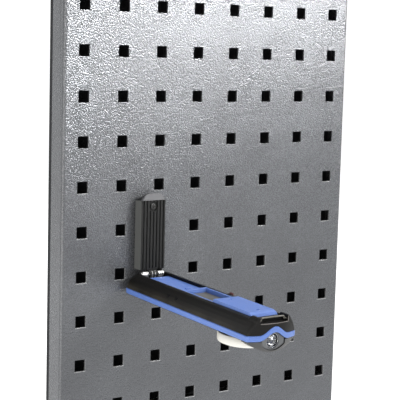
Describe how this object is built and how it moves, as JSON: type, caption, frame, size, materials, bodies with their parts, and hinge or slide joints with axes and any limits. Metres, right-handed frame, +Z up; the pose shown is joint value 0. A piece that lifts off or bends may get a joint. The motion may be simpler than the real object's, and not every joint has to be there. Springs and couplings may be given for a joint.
{
  "type": "pegboard tool wall",
  "caption": "Silver perforated steel tool panel on rails and a black board, holding a folding magnetic LED work lamp with a ribbed foot.",
  "frame": {"origin": "on the back of the black board, level with the middle of the top rail, halfway across", "axes": "+X right along the rails as seen from the front, +Y into the wall, +Z up"},
  "size_m": [0.3096, 0.2294, 0.4572],
  "materials": {
    "panel_paint": "hammered silver-grey powder coat",
    "board_black": "matt black hardboard",
    "rail_zinc": "bright zinc plate",
    "screw_zinc": "bright zinc plate",
    "black_body": "fine satin texture",
    "black_rubber": "matt",
    "blue_body": "satin",
    "grey_plastic": "satin",
    "frosted_lens": "frosted, translucent",
    "clear_lens": "clear moulded",
    "steel": "satin",
    "chrome": "mirror",
    "red_button": "satin",
    "board_green": "solder mask",
    "led_yellow": "phosphor",
    "cell_foil": "laminated foil"
  },
  "bodies": {
    "panel": {"perforated_panel": "panel_paint", "back_board": "board_black", "top_rail": "rail_zinc", "bottom_rail": "rail_zinc", "panel_screw_top_left": "screw_zinc", "panel_screw_top_right": "screw_zinc", "panel_screw_bottom_left": "screw_zinc", "panel_screw_bottom_right": "screw_zinc", "wall_screw_top_left": "screw_zinc", "wall_screw_top_right": "screw_zinc", "wall_screw_bottom_left": "screw_zinc", "wall_screw_bottom_right": "screw_zinc"},
    "foot": {"foot_cover": "black_body", "foot_tip": "steel", "foot_screw": "screw_zinc", "foot_backing": "steel", "foot_magnet_lower": "steel", "foot_magnet_upper": "steel"},
    "lamp": {"hinge_pin": "steel", "hinge_leaf": "steel", "hinge_washer_left": "steel", "hinge_washer_right": "steel", "upper_shell": "black_body", "charge_light_rear": "clear_lens", "charge_light_front": "clear_lens", "blue_band": "blue_body", "lower_shell": "black_body", "spot_bezel": "grey_plastic", "spot_reflector": "chrome", "spot_board": "board_green", "spot_chip": "led_yellow", "spot_lens": "clear_lens", "head_ring": "grey_plastic", "head_board": "board_green", "head_chip": "led_yellow", "head_lens": "frosted_lens", "channel_cover": "blue_body", "catch_plate": "steel", "battery_pack": "cell_foil", "main_board": "board_green", "shell_screw_rear_left": "screw_zinc", "shell_screw_rear_right": "screw_zinc", "shell_screw_front_left": "screw_zinc", "shell_screw_front_right": "screw_zinc", "button_bezel": "black_rubber", "button_switch": "black_body"},
    "button": {"power_button": "red_button"},
    "bail": {"bail_wire": "steel"}
  },
  "joints": [
    {"name": "magnet_lift_off", "type": "slide", "parent": "panel", "child": "foot", "axis": [0, -1, 0], "range_m": [0, 0.12]},
    {"name": "lamp_fold", "type": "hinge", "parent": "foot", "child": "lamp", "pos_m": [-0.06908, -0.03666, -0.24806], "axis": [-1, 0, 0], "range_deg": [-6, 90]},
    {"name": "button_press", "type": "slide", "parent": "lamp", "child": "button", "axis": [-0.4067, 0.0362, -0.9128], "range_m": [0, 0.001], "stiffness_N_per_m": 600},
    {"name": "bail_swing", "type": "hinge", "parent": "lamp", "child": "bail", "pos_m": [-0.06908, -0.20642, -0.25499], "axis": [1, 0, 0], "range_deg": [0, 85]}
  ]
}
